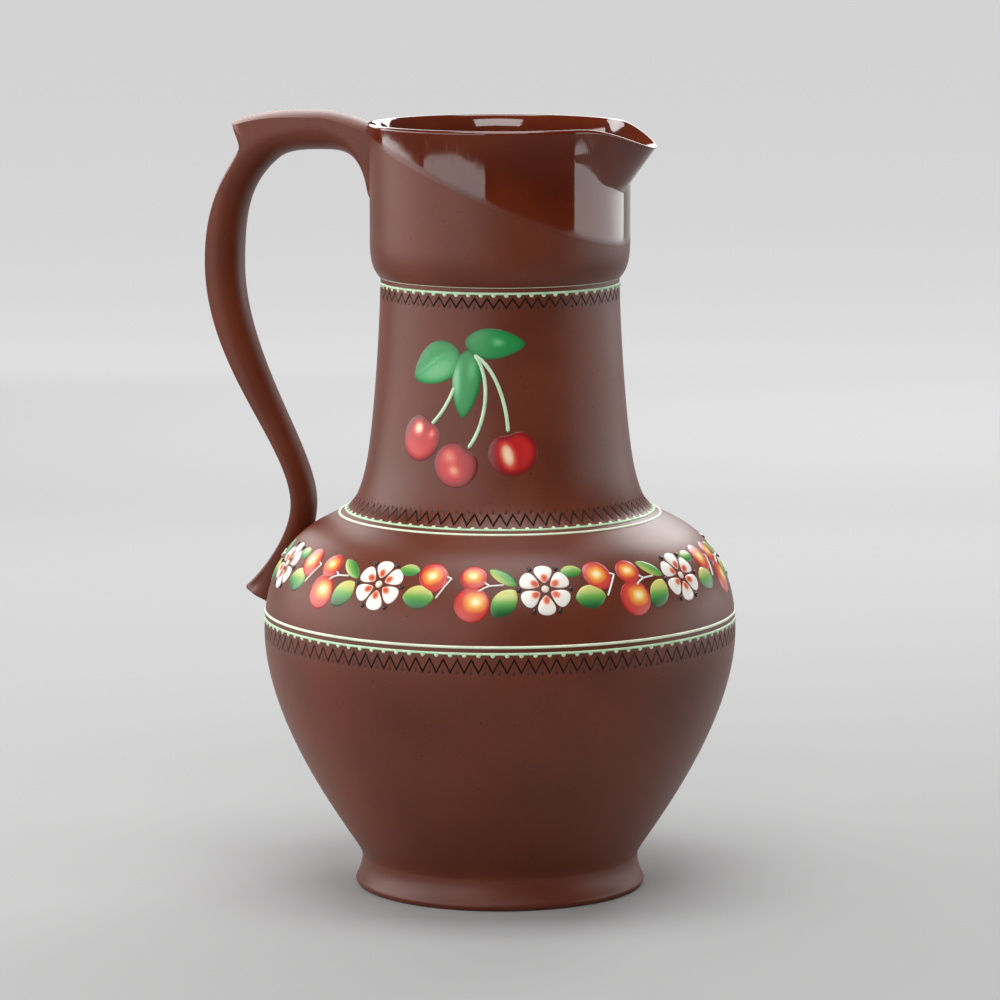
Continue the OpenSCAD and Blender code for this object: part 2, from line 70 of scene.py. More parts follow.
def thrown(outline, columns, row_of=None):
    """A closed outline of (radius, height) in mm, spun all round: a twelfth, then its copies."""
    sectors = 12
    bm = bmesh.new()
    row = bm.verts.layers.int.new("row")
    verts = [bm.verts.new((point[0] * mm, 0, point[1] * mm)) for point in outline]
    for i, vert in enumerate(verts):
        vert[row] = row_of.get(i, -1) if row_of else -1
    edges = [bm.edges.new(pair) for pair in zip(verts, verts[1:] + verts[:1])]
    bmesh.ops.spin(bm, geom=verts + edges, cent=(0, 0, 0), axis=(0, 0, 1),
                   angle=math.tau / sectors, steps=columns // sectors)
    bmesh.ops.spin(bm, geom=bm.verts[:] + bm.edges[:] + bm.faces[:], cent=(0, 0, 0), axis=(0, 0, 1),
                   angle=math.tau * (sectors - 1) / sectors, steps=sectors - 1, use_duplicate=True)
    bmesh.ops.remove_doubles(bm, verts=bm.verts, dist=2e-6)
    bmesh.ops.recalc_face_normals(bm, faces=bm.faces)
    return bm


def piece(name, bm, material, sharp=40):
    """The finished mesh as an object with smooth faces and crisp edges above an angle in degrees."""
    mesh = bpy.data.meshes.new(name)
    bm.to_mesh(mesh)
    bm.free()
    mesh.shade_smooth()
    mesh.set_sharp_from_angle(angle=math.radians(sharp))
    mesh.materials.append(material)
    made = bpy.data.objects.new(name, mesh)
    bpy.context.collection.objects.link(made)
    return made


def linear(hex_colour):
    """An sRGB colour such as #a0522d as the linear RGBA that shaders take."""
    parts = [int(hex_colour[i:i + 2], 16) / 255 for i in (1, 3, 5)]
    return [p / 12.92 if p <= 0.04045 else ((p + 0.055) / 1.055) ** 2.4 for p in parts] + [1.0]


def add(tree, kind, inputs=None, stops=(), **settings):
    """Adds a shader node with its settings, its input values or links, and the stops of a ramp."""
    node = tree.nodes.new("ShaderNode" + kind)
    for name, value in settings.items():
        setattr(node, name, value)
    for socket, value in (inputs or {}).items():
        if isinstance(value, bpy.types.NodeSocket):
            tree.links.new(value, node.inputs[socket])
        else:
            node.inputs[socket].default_value = value
    for i, (position, colour) in enumerate(stops):
        ramp = node.color_ramp.elements
        stop = ramp[i] if i < 2 else ramp.new(position)
        stop.position = position
        stop.color = linear(colour)
    return node


# Satin red clay: a dark red-brown body with a wide soft sheen, faint clouds of colour,
# a fine grit, a few small dark specks, and near-black painted shade with a dark stain in
# whatever was cut into it.
clay = bpy.data.materials.new("satin_red_clay")
clay.use_nodes = True
tree = clay.node_tree
shader = tree.nodes["Principled BSDF"]
place = add(tree, "TexCoord").outputs["Object"]
clouds = add(tree, "TexNoise", {"Vector": place, "Scale": 1 / (34 * mm), "Detail": 4.0})
tone = add(tree, "ValToRGB", {"Fac": clouds.outputs["Fac"]},
           stops=[(0.3, "#562009"), (0.7, "#66290e")])
grit = add(tree, "TexNoise", {"Vector": place, "Scale": 1 / (0.7 * mm), "Detail": 2.0})
gritty = add(tree, "MixRGB", {"Fac": 0.22, "Color1": tone.outputs["Color"],
                              "Color2": grit.outputs["Fac"]}, blend_type="OVERLAY")
speck = add(tree, "TexVoronoi", {"Vector": place, "Scale": 1 / (6 * mm)})
speck_mask = add(tree, "MapRange", {"Value": speck.outputs["Distance"], "From Min": 0.045,
                                    "From Max": 0.075, "To Min": 0.7, "To Max": 0.0})
specked = add(tree, "MixRGB", {"Fac": speck_mask.outputs["Result"], "Color1": gritty.outputs["Color"],
                               "Color2": linear("#1d0c07")})
# Painted shade with a dark stain: the cut groove, its lips and the pits are darkened in the colour.
cut = add(tree, "Attribute", attribute_name="groove")
shaded_and_stained = add(tree, "MixRGB", {"Fac": cut.outputs["Fac"], "Color1": specked.outputs["Color"],
                               "Color2": linear("#160c09")})
tree.links.new(shaded_and_stained.outputs["Color"], shader.inputs["Base Color"])
sheen = add(tree, "MapRange", {"Value": clouds.outputs["Fac"], "From Min": 0.3, "From Max": 0.7,
                               "To Min": 0.41, "To Max": 0.47})
tree.links.new(sheen.outputs["Result"], shader.inputs["Roughness"])
feel = add(tree, "Bump", {"Height": grit.outputs["Fac"], "Strength": 0.08, "Distance": 0.3 * mm})
tree.links.new(feel.outputs["Normal"], shader.inputs["Normal"])
shader.inputs["IOR"].default_value = 1.45

foot_base = Vector((foot_r - foot_round, 0))
foot_edge = Vector((foot_r, foot_edge_h))
foot_side = (stretch(foot_base, 0, foot_round / 2, foot_edge, up, foot_edge_h / 2, 8)
             + stretch(foot_edge, foot_lean, foot_pull, waist, up, waist_pull, 18)[1:])
foot_outline = foot_side + [Vector((recess_r, waist.y)), Vector((recess_r, 0))]
foot = piece("turned_foot", thrown(foot_outline, 240), clay)
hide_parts("foot_ring")
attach(foot, "root")


# Thrown belly
# The lower bowl of red clay with its floor, thrown up to just above the widest place.
# A row of zigzag and pits is cut round its top with a point before it is fired.
flare = Vector((56.0, 20.2))
flare_dir = 57.0
widest = Vector((86.4, 95.0))
turn = Vector((67.0, 133.6))
turn_dir = 151.0
root = Vector((49.7, 152.0))
root_dir = 105.0
neck_top = Vector((43.5, 224.0))
wall = 5.0
floor_h = 14.0
corner_h = 3.0
corner_in = 5.0
recess_h = 8.0
seam_step = 4


def swept(start, start_dir, start_share, end, end_dir, end_share, steps):
    """A smooth stretch whose pulls are shares of the straight way between its ends."""
    chord = (end - start).length
    return stretch(start, start_dir, chord * start_share, end, end_dir, chord * end_share, steps)


waist_line = stretch(waist, up, waist_pull, flare, flare_dir, waist_pull, 16)
bowl_line = swept(flare, flare_dir, 0.15, widest, up, 0.38, 60)
dome_line = swept(widest, up, 0.62, turn, turn_dir, 0.125, 56)
root_line = swept(turn, turn_dir, 0.52, root, root_dir, 0.56, 36)
neck_line = swept(root, root_dir, 0.2, neck_top, up, 0.17, 40)
side = foot_side + waist_line[1:] + bowl_line[1:] + dome_line[1:] + root_line[1:] + neck_line[1:]
side_heights = [point.y for point in side]


def wall_at(height):
    """The wall's radius at a height, and how far it faces upward, in radians."""
    i = min(max(bisect.bisect(side_heights, height), 1), len(side) - 1)
    low, high = side[i - 1], side[i]
    share = (height - low.y) / (high.y - low.y)
    return low.x + share * (high.x - low.x), math.atan2(low.x - high.x, high.y - low.y)


def on_wheel(radius, angle, height):
    """A point at a radius and a height in mm and an angle round the axis in radians."""
    return Vector((radius * math.cos(angle), radius * math.sin(angle), height)) * mm


def inside(line):
    """The inner face of a wall, from its top down, one wall thickness in from the outer line."""
    inner = []
    for i, point in enumerate(line):
        along = line[min(i + 1, len(line) - 1)] - line[max(i - 1, 0)]
        inner.append(point + Vector((-along.y, along.x)).normalized() * wall)
    return inner[::-1]


# A carved band has ten rows, counted from the open side of the teeth: the border, three for the
# pits, five for the groove with its lips, and the other border.
band_rows = 10
band_clear = 0.2
pit_row = 2
pit_r = 0.55
pit_depth = 0.45
pit_shade_and_stain = 0.4
pit_room = 0.9
groove_row = 6
groove_w = 0.65
groove_depth = 0.4
lip_margin = 0.2
lip_shade_and_stain = 0.6
bowl_teeth = 108
bowl_tooth_columns = 10
bowl_open_z = 91.4
bowl_tip_z = 99.2
bowl_zigzag = (93.05, 97.8)
bowl_pit_z = 92.9


def with_band(line, open_z, tip_z):
    """The line with a band's rows in place of its points between two heights, and those rows by index."""
    low, high = min(open_z, tip_z), max(open_z, tip_z)
    below = [p for p in line if p.y < low - band_clear]
    above = [p for p in line if p.y > high + band_clear]
    heights = [low + (high - low) * k / (band_rows - 1) for k in range(band_rows)]
    rows = range(band_rows) if open_z < tip_z else reversed(range(band_rows))
    row_of = {len(below) + i: k for i, k in enumerate(rows)}
    return below + [Vector((wall_at(h)[0], h)) for h in heights] + above, row_of


def carve(bm, first_row, teeth, tooth_columns, open_z, tip_z, zigzag, pit_z):
    """Cuts a zigzag of teeth and a pit in the open side of each, and marks where the painted shade and
    stain sit.
    """
    row = bm.verts.layers.int["row"]
    groove = bm.verts.layers.float.get("groove") or bm.verts.layers.float.new("groove")
    way = 1 if tip_z > open_z else -1
    band = abs(tip_z - open_z)
    foot_q, tip_q, pit_q = (abs(z - open_z) for z in (*zigzag, pit_z))
    tooth_w = 2 * math.pi * wall_at(pit_z)[0] / teeth
    half = groove_w / 2 * math.hypot(1, (tip_q - foot_q) / (tooth_w / 2))
    for vert in bm.verts:
        k = vert[row] - first_row
        if not 0 <= k < band_rows or vert[row] < 0:
            continue
        angle = math.atan2(vert.co.y, vert.co.x)
        share = (angle / (2 * math.pi) * teeth) % 1.0
        line = foot_q + (tip_q - foot_q) * (1 - abs(2 * share - 1))
        near_lip = line - half - lip_margin
        squeeze = min(1.0, pit_room * near_lip / (pit_q + pit_r))
        q = [0, (pit_q - pit_r) * squeeze, pit_q * squeeze, (pit_q + pit_r) * squeeze, near_lip,
             line - half, line, line + half, line + half + lip_margin, band][k]
        aside = abs(share - 0.5) * tooth_columns
        in_pit = k == pit_row and aside < 0.5
        by_pit = k == pit_row and aside < 1.5 or abs(k - pit_row) == 1 and aside < 0.5
        # The groove, its lips and the pits get painted shade with a dark stain.
        shade_and_stain = 1.0 if k == groove_row else lip_shade_and_stain if abs(k - groove_row) == 1 else 0.0
        if by_pit:
            shade_and_stain = 1.0 if in_pit else pit_shade_and_stain
        vert[groove] = shade_and_stain
        depth = groove_depth if k == groove_row else pit_depth if in_pit else 0
        height = open_z + way * q
        radius, lean = wall_at(height)
        vert.co = on_wheel(radius - depth * math.cos(lean), angle, height - depth * math.sin(lean))


bowl_plain = waist_line + bowl_line[1:] + dome_line[1:seam_step + 1]
bowl_outer, bowl_rows = with_band(bowl_plain, bowl_open_z, bowl_tip_z)
bowl_inner = [p for p in inside(bowl_plain)[::3] if p.y > floor_h + corner_h]
bowl_floor = [Vector((bowl_inner[-1].x - corner_in, floor_h)), Vector((0, floor_h))]
bowl_plug = [Vector((0, recess_h)), Vector((recess_r, recess_h)), Vector((recess_r, waist.y))]
bowl_outline = bowl_outer + bowl_inner + bowl_floor + bowl_plug
bowl_mesh = thrown(bowl_outline, bowl_teeth * bowl_tooth_columns, bowl_rows)
carve(bowl_mesh, 0, bowl_teeth, bowl_tooth_columns, bowl_open_z, bowl_tip_z, bowl_zigzag, bowl_pit_z)
bowl = piece("thrown_belly", bowl_mesh, clay)
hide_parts("belly")
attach(bowl, "root")


# Thrown shoulder
# The dome of red clay from above the widest place to the turn under the neck, luted to the belly
# under the lower dotted line. It is left plain for the painted frieze.
dome_outer = dome_line[seam_step:]
dome_inner = inside(dome_outer)
dome = piece("thrown_shoulder", thrown(dome_outer + dome_inner[::3] + dome_inner[-1:], 360), clay)
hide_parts("shoulder")
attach(dome, "root")


# Thrown neck
# The flared root and the tall tapering neck of red clay, thrown apart and luted to the shoulder.
# A zigzag with pits is cut round its root and another round its top.
neck_columns = 720
low_teeth = 72
low_open_z = 146.4
low_tip_z = 139.9
low_zigzag = (144.3, 140.7)
low_pit_z = 144.8
high_teeth = 60
high_open_z = 215.5
high_tip_z = 222.0
high_zigzag = (217.1, 220.5)
high_pit_z = 217.0

neck_outer = root_line + neck_line[1:]
neck_inner = inside(neck_outer)
neck_outer, low_rows = with_band(neck_outer, low_open_z, low_tip_z)
neck_outer, high_rows = with_band(neck_outer, high_open_z, high_tip_z)
high_rows = {i: k + band_rows for i, k in high_rows.items()}
neck_mesh = thrown(neck_outer + neck_inner[::4] + neck_inner[-1:], neck_columns, low_rows | high_rows)
carve(neck_mesh, 0, low_teeth, neck_columns // low_teeth, low_open_z, low_tip_z, low_zigzag, low_pit_z)
carve(neck_mesh, band_rows, high_teeth, neck_columns // high_teeth, high_open_z, high_tip_z,
      high_zigzag, high_pit_z)
neck = piece("thrown_neck", neck_mesh, clay)
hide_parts("neck")
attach(neck, "root")


# Collar with its pulled spout
# A wider collar of red clay on the neck's top, with a rounded underside and a rounded lip. The
# potter pulls its front out and down between two fingers while it is wet to make the spout.
collar_r = 47.4
collar_in = 43.0
collar_z = 237.0
rim_z = 280.0
glaze_room = 0.1
splay_z = 254.0
splay_out = 0.8
splay_power = 2.2
lip_r = 1.0
lip = Vector((collar_r - glaze_room + splay_out - lip_r, rim_z - lip_r))
lip_turn = 147.0
lip_steps = 16
lip_pull = 6.0
mouth_z = 266.0
mouth_pull = 3.0
throat_pull = 5.2
under_dir = 45.0
under_pull = 3.9
upright_pull = 6.5
spout_low = 259.5
spout_half = 42.0
spout_power = 3
spout_reach = 10.2
spout_drop = 7.7
lift_power = 1.2


def collar_wall(height):
    """The collar's outer radius at a height: upright, and splayed a little toward the lip."""
    share = max((height - splay_z) / (lip.y - splay_z), 0)
    return collar_r - glaze_room + splay_out * share ** splay_power


def pulled(co):
    """A point of the collar in metres after the spout is pulled."""
    angle = math.degrees(math.atan2(co.y, co.x))
    height = co.z / mm
    if abs(angle) >= spout_half or height <= spout_low:
        return co
    share = math.cos(math.radians(90 * angle / spout_half)) ** spout_power
    lift = ((height - spout_low) / (rim_z - spout_low)) ** lift_power
    return co + Vector((spout_reach, 0, -spout_drop)) * share * lift * mm


upright_low = Vector((collar_wall(collar_z), collar_z))
under_line = stretch(neck_top, under_dir, under_pull, upright_low, up, upright_pull, 20)
upright_heights = [collar_z + (lip.y - collar_z) * k / 24 for k in range(1, 25)]
upright_line = [Vector((collar_wall(h), h)) for h in upright_heights]
lip_arc = [lip + toward(lip_turn * k / lip_steps, lip_r) for k in range(1, lip_steps + 1)]
throat_low = Vector((neck_top.x - wall, neck_top.y))
throat_line = stretch(throat_low, up, throat_pull, Vector((collar_in, collar_z)), up, throat_pull, 12)
mouth_wall = [Vector((collar_in, collar_z + (mouth_z - collar_z) * k / 6)) for k in range(1, 6)]
mouth_low = Vector((collar_in, mouth_z))
mouth_round = stretch(mouth_low, up, mouth_pull, lip_arc[-1], lip_turn - 90, lip_pull, 12)
mouth_line = throat_line + mouth_wall + mouth_round[:-1]
collar_mesh = thrown(under_line + upright_line + lip_arc + mouth_line[::-1], 360)
for vert in collar_mesh.verts:
    vert.co = pulled(vert.co)
collar = piece("thrown_collar", collar_mesh, clay)
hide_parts("collar")
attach(collar, "root")


# Strap handle
# One pulled strap of red clay from the lip over an arm with a thumb rest, down the grip to a tail
# that is pressed on the shoulder. Each ring of its mesh runs from the outer rail to the inner rail.
strap_half = 11.0
tail_half = 9.0
wide_above = 245.0
narrow_below = 170.0
ring_steps = 48
crown_h = 2.4
flank = 0.3
flank_least = 0.5
under_round = 9.0
seat_r = 46.4
taper_power = 2.2
thumb_tip = Vector((100.7, 279.2))
thumb_round = 3.0
thumb_t = 4.5
thumb_low = 269.0
thumb_fade = 8.0
thumb_taper = 0.6
tail_tip = Vector((97.0, 107.0))
tail_high = 118.0
tail_start = Vector((90.0, 113.0))
tail_dir = -42.0
tail_round = 9.0
tail_taper = 0.77


def clamped(value):
    """The value, kept between 0 and 1."""
    return min(max(value, 0), 1)


def eased(share):
    """A share from 0 to 1 that starts and ends gently."""
    return share * share * (3 - 2 * share)


def rail(knots):
    """A rail through knots of (point, direction, pull before, pull after, steps to the next)."""
    line = []
    for (a, a_dir, _, a_pull, steps), (b, b_dir, b_pull, _, _) in zip(knots, knots[1:]):
        line += stretch(Vector(a), a_dir, a_pull, Vector(b), b_dir, b_pull, steps)[:-1]
    return line + [Vector(knots[-1][0])]


outer_rail = rail([((45.2, 277.8), 20, 0, 8, 14),
                   ((69, 283.6), 0, 8, 12, 20),
                   (thumb_tip, -22, 10, 0.6, 3),
                   ((100.4, 278.3), -122, 0.6, 3.4, 14),
                   ((98.2, 269.2), -64, 3.4, 8, 18),
                   ((111.6, 227), -90, 25, 40, 36),
                   ((79.3, 138.6), -90, 22, 12, 16),
                   (tail_tip, -40, 8, 2, 12),
                   ((84, 100.6), -165, 7, 0, 0)])
inner_rail = rail([((47.4, 247.5), 88, 0, 15, 14),
                   ((63.5, 269.2), 0, 10, 9, 20),
                   ((83.9, 265.8), -37, 5.5, 0.3, 3),
                   ((84.4, 265.4), -38, 0.3, 1.3, 14),
                   ((87.9, 262.2), -48, 1.3, 11, 18),
                   ((97.8, 226), -90, 20, 34, 36),
                   ((70.4, 138.6), -90, 20, 12, 16),
                   ((81.4, 102.4), -70, 10, 0.5, 12),
                   ((81.4, 100.4), -90, 0.5, 0, 0)])
handle_mesh = bmesh.new()
around = handle_mesh.verts.layers.float.new("around")
ring_verts = bmesh.ops.create_circle(handle_mesh, segments=ring_steps, radius=1)["verts"]
for vert in ring_verts:
    vert[around] = math.atan2(vert.co.y, vert.co.x)
ring_edges = handle_mesh.edges[:]
for i, (out, under) in enumerate(zip(outer_rail, inner_rail)):
    depth = (under - out).length
    inward = (under - out) / depth
    widened = clamped((out.y - narrow_below) / (wide_above - narrow_below))
    body_half = tail_half + (strap_half - tail_half) * widened
    past_thumb = clamped((out.x - thumb_tip.x + thumb_round) / thumb_round)
    past_thumb *= clamped((out.y - thumb_low) / thumb_fade)
    past_tail = clamped((out - tail_start).dot(toward(tail_dir, 1)) / tail_round)
    if out.y >= tail_high:
        past_tail = 0
    taper = max(thumb_taper * past_thumb ** taper_power, tail_taper * past_tail ** taper_power)
    face_half = body_half * math.sqrt(1 - taper)
    crown = crown_h * face_half / strap_half
    round_h = min(under_round, depth - crown - flank_least)
    if i:
        grown = bmesh.ops.extrude_edge_only(handle_mesh, edges=ring_edges)["geom"]
        ring_verts = [g for g in grown if isinstance(g, bmesh.types.BMVert)]
        ring_edges = [e for e in grown if isinstance(e, bmesh.types.BMEdge)
                      and e.verts[0] in ring_verts and e.verts[1] in ring_verts]
    for vert in ring_verts:
        c, s = math.cos(vert[around]), math.sin(vert[around])
        if s >= 0:
            across = face_half * c
            down = crown * c * c
        else:
            share = math.acos(abs(c)) / (math.pi / 2)
            bend = max((share - flank) / (1 - flank), 0) * math.pi / 2
            across = body_half * math.copysign(max(math.cos(bend), 0), c)
            down = depth - round_h * (1 - math.sin(bend))
            if share < flank:
                down = crown + (depth - round_h - crown) * share / flank
            spread = min((down - crown) / thumb_t, 1)
            across *= (face_half + (body_half - face_half) * eased(spread)) / body_half
        at = out + inward * down
        vert.co = Vector((-at.x, across, at.y)) * mm
    if i == 0:
        first_ring = ring_verts
for vert in first_ring:
    vert.co.x = -math.sqrt((seat_r * mm) ** 2 - vert.co.y ** 2)
bmesh.ops.contextual_create(handle_mesh, geom=ring_edges)
bmesh.ops.recalc_face_normals(handle_mesh, faces=handle_mesh.faces)
handle = piece("strap_handle", handle_mesh, clay, 60)
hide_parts("handle")
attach(handle, "root")


# Glaze lining
# The coat of brown glaze that is swilled round the whole inside, so that the jug holds water.
# It runs from the floor to the top of the neck.
glaze_t = 0.4

# Glossy brown glaze: a clear treacle colour over the clay with sharp reflections, broken by fine
# scratches from use and by small pale specks painted into the colour as glints.
glaze = bpy.data.materials.new("glossy_brown_glaze")
glaze.use_nodes = True
tree = glaze.node_tree
shader = tree.nodes["Principled BSDF"]
place = add(tree, "TexCoord").outputs["Object"]
depths = add(tree, "TexNoise", {"Vector": place, "Scale": 1 / (25 * mm), "Detail": 3.0})
tone = add(tree, "ValToRGB", {"Fac": depths.outputs["Fac"]}, stops=[(0.3, "#4c1706"), (0.7, "#62230c")])
# Small pale specks in the colour: painted glints.
glints = add(tree, "TexVoronoi", {"Vector": place, "Scale": 1 / (2.6 * mm)})
glint_mask = add(tree, "MapRange", {"Value": glints.outputs["Distance"], "From Min": 0.03, "From Max": 0.06,
                                   "To Min": 0.35, "To Max": 0.0})
glinted = add(tree, "MixRGB", {"Fac": glint_mask.outputs["Result"], "Color1": tone.outputs["Color"],
                             "Color2": linear("#9c7c6c")})
tree.links.new(glinted.outputs["Color"], shader.inputs["Base Color"])
across = add(tree, "Mapping", {"Vector": place, "Rotation": (0.9, 0.6, 0.5), "Scale": (1.0, 1.0, 0.1)})
rubbed = add(tree, "TexNoise", {"Vector": across.outputs["Vector"], "Scale": 1 / (0.9 * mm), "Detail": 2.0})
scratch = add(tree, "MapRange", {"Value": rubbed.outputs["Fac"], "From Min": 0.6, "From Max": 0.68,
                                 "To Min": 0.05, "To Max": 0.1})
thin = add(tree, "Attribute", attribute_name="thin")
gloss = add(tree, "Mix", {"Factor": thin.outputs["Fac"], "A": scratch.outputs["Result"], "B": 0.44})
tree.links.new(gloss.outputs["Result"], shader.inputs["Roughness"])
ripple = add(tree, "Bump", {"Height": depths.outputs["Fac"], "Strength": 0.12, "Distance": 0.6 * mm})
tree.links.new(ripple.outputs["Normal"], shader.inputs["Normal"])
shader.inputs["IOR"].default_value = 1.58

pot_side = waist_line + bowl_line[1:] + dome_line[1:] + root_line[1:] + neck_line[1:]
pot_wall = [p for p in inside(pot_side)[::4] if p.y > floor_h + corner_h]
cavity = [throat_low] + pot_wall[1:] + [Vector((pot_wall[-1].x - corner_in, floor_h))]
coat = [Vector((max(p.x - glaze_t, 0), max(p.y, floor_h + glaze_t))) for p in cavity]
lining_outline = cavity + [Vector((0, floor_h)), Vector((0, floor_h + glaze_t))] + coat[::-1]
lining = piece("swilled_lining", thrown(lining_outline, 180), glaze)
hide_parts("glaze_lining")
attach(lining, "root")


# Dipped glaze of the collar
# The jug was dipped mouth down and aslant: glossy brown glaze over the lip, inside the collar, and
# outside down to a slanting line that is low under the spout and just under the lip by the handle.
dip_mid = 257.0
dip_tilt = 20.12
dip_least = 0.4
dip_rows = 20
back_rows = 3
dip_t = 0.08
dip_sunk = 0.05
dip_soft = 3.0

# The rows outside and the rows behind them are spun in a plain place first, then moved to the slant.
dip_outer = [Vector((collar_r, collar_z + k)) for k in range(dip_rows + 1)]
dip_lip = [lip + toward(lip_turn * k / lip_steps, lip_r + dip_t) for k in range(1, lip_steps + 1)]
dip_inner = [p - Vector((dip_t, 0)) for p in mouth_line[::-1]]
dip_behind = [Vector((collar_r - dip_sunk, collar_z - k)) for k in range(back_rows)]
dip_outline = dip_outer + dip_lip + dip_inner + mouth_line + lip_arc[::-1] + dip_behind
dip_mesh = thrown(dip_outline, 360, {i: i for i in range(len(dip_outline))})
row = dip_mesh.verts.layers.int["row"]
thin_layer = dip_mesh.verts.layers.float.new("thin")
for vert in dip_mesh.verts:
    angle = math.atan2(vert.co.y, vert.co.x)
    edge = min(max(dip_mid - dip_tilt * math.cos(angle), collar_z), lip.y - dip_least)
    back = vert[row] - (len(dip_outline) - back_rows)
    if vert[row] <= dip_rows or back >= 0:
        share = vert[row] / dip_rows if back < 0 else 1 - back / (back_rows - 1)
        height = edge + (lip.y - edge) * eased(share)
        vert[thin_layer] = max(1 - (height - edge) / dip_soft, 0)
        vert.co = on_wheel(collar_wall(height) + (dip_t if back < 0 else -dip_sunk), angle, height)
    vert.co = pulled(vert.co)
bmesh.ops.recalc_face_normals(dip_mesh, faces=dip_mesh.faces)
dip = piece("dipped_glaze", dip_mesh, glaze)
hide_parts("glaze_dip")
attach(dip, "root")


# Plain slip lines
# Three lines of thick cream slip, trailed from a nozzle while the jug turned slowly on the wheel.
# They stand up as half-round threads.
line_w = 1.0
line_t = 0.4
line_sink = 0.1
arch_steps = 8


def slip(name, thin_colour, thick_colour):
    """A satin slip as it comes from the nozzle, a little uneven in tone along its way."""
    made = bpy.data.materials.new(name)
    made.use_nodes = True
    tree = made.node_tree
    shader = tree.nodes["Principled BSDF"]
    place = add(tree, "TexCoord").outputs["Object"]
    patches = add(tree, "TexNoise", {"Vector": place, "Scale": 1 / (5 * mm), "Detail": 2.0})
    tone = add(tree, "ValToRGB", {"Fac": patches.outputs["Fac"]},
               stops=[(0.3, thin_colour), (0.7, thick_colour)])
    tree.links.new(tone.outputs["Color"], shader.inputs["Base Color"])
    shader.inputs["Roughness"].default_value = 0.38
    return made


# Trailed cream slip: an off-white satin thread, a little uneven in tone where it is thin.
cream = slip("trailed_cream_slip", "#cddbbe", "#e3ecd4")


def on_side(height, along, out):
    """A point at a height of the wall, moved up along the wall and out of it, as (radius, height)."""
    radius, lean = wall_at(height)
    up_wall = Vector((-math.sin(lean), math.cos(lean)))
    out_of_wall = Vector((math.cos(lean), math.sin(lean)))
    return Vector((radius, height)) + up_wall * along + out_of_wall * out


def thread(height, width):
    """The half-round outline of a trailed line, set a hair into the wall."""
    bends = [math.pi * k / arch_steps for k in range(arch_steps + 1)]
    arch = [on_side(height, -width / 2 * math.cos(bend), line_t * math.sin(bend)) for bend in bends]
    return arch + [on_side(height, width / 2, -line_sink), on_side(height, -width / 2, -line_sink)]


for node, height in (("upper_line", 224.6), ("middle_line", 137.9), ("lower_line", 102.2)):
    trailed = piece("trailed_" + node, thrown(thread(height, line_w), 360), cream)
    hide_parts(node)
    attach(trailed, "root")


# Dotted slip lines
# Beside each plain line a second one of mint slip, with a row of drops touched on along its side
# toward the cut zigzag. One drop stands over each gap between two teeth.
dotted_w = 0.9
dot_w = 1.7
dot_drop = 0.6

# Trailed mint slip: a pale green satin slip, paler where it is thick.
mint = slip("trailed_mint_slip", "#add0a8", "#c8e3be")


def drop(bm, segments, rings):
    """A ball of radius 1 to be pressed into a low drop; its points are returned."""
    return bmesh.ops.create_uvsphere(bm, u_segments=segments, v_segments=rings, radius=1)["verts"]


dotted_rows = [("upper_dotted_line", 222.2, high_teeth, -1), ("middle_dotted_line", 139.3, low_teeth, 1),
               ("lower_dotted_line", 99.9, bowl_teeth, -1)]
for node, height, dots, side_of in dotted_rows:
    dotted = thrown(thread(height, dotted_w), 360)
    touched = drop(dotted, 8, 6)
    for vert in touched:
        at = on_side(height, side_of * dot_drop + vert.co.y * dot_w / 2, vert.co.z * line_t)
        vert.co = Vector((at.x, vert.co.x * dot_w / 2, at.y)) * mm
    dot_edges = list(dict.fromkeys(e for vert in touched for e in vert.link_edges))
    dot_faces = list(dict.fromkeys(f for vert in touched for f in vert.link_faces))
    bmesh.ops.spin(dotted, geom=touched + dot_edges + dot_faces, cent=(0, 0, 0), axis=(0, 0, 1),
                   angle=math.tau * (dots - 1) / dots, steps=dots - 1, use_duplicate=True)
    dotted = piece("trailed_" + node, dotted, mint)
    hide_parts(node)
    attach(dotted, "root")


# Cherry sprig: fruits
# Three cherries on the front of the neck, laid on in thick red enamel and touched with cream lights.
# Each is a low drop of enamel that follows the wall.
front = -90.0
sprig_z = 201.0
cherry_d = 17.0
cherry_tone = 0.34
light_tone = 0.97
dent_depth = 0.2
dent_spread = 24.0
relief_t = 0.45
relief_sink = 0.06
core_r = 20.0
cast_from = 20.0
light_edge = 1.6
cherry_rows = [(-22, 1.82, -28, 0.94, 1.03), (-4.2, 2.34, -35, 0.98, 0.98), (20.6, 2.08, 14, 1.06, 0.98)]
cherry_lights = [[(-0.3, 0.3, 0.26, 0.3, 1.0), (0.42, 0.42, 0.14, 0.2, 0.6), (-0.2, -0.6, 0.7, 0.4, 0.12)],
                 [(-0.42, 0.12, 0.36, 0.28, 0.5), (0.1, -0.25, 0.3, 0.24, 0.6)],
                 [(-0.22, -0.02, 0.26, 0.56, 1.0)]]
cherry_shades = [(0.1, -0.1), (-0.08, -0.08), (0.12, 0.0)]
wall_mesh = thrown(side + [Vector((core_r, neck_top.y)), Vector((core_r, 0))], 720)
wall_tree = BVHTree.FromBMesh(wall_mesh)
wall_mesh.free()


def laid(verts, angle, height, lift=relief_t):
    """Lays points of (across, up, share of the lift) in mm on the wall at an angle and a height."""
    radius, lean = wall_at(height)
    turned = Euler((0, 0, math.radians(angle)))
    out = Vector((math.cos(lean), 0, math.sin(lean)))
    rise = Vector((-math.sin(lean), 0, math.cos(lean)))
    across = Vector((0, 1, 0))
    middle = Vector((radius, 0, height))
    for direction in (out, rise, across, middle):
        direction.rotate(turned)
    for vert in verts:
        x, y, share = vert.co
        start = middle + across * x + rise * y + out * cast_from
        hit, normal, _, _ = wall_tree.ray_cast(start * mm, -out)
        vert.co = hit + normal * (lift * max(share, 0) - relief_sink) * mm


def turned_xy(x, y, angle):
    """A point turned anticlockwise by an angle in degrees."""
    c, s = math.cos(math.radians(angle)), math.sin(math.radians(angle))
    return x * c - y * s, x * s + y * c


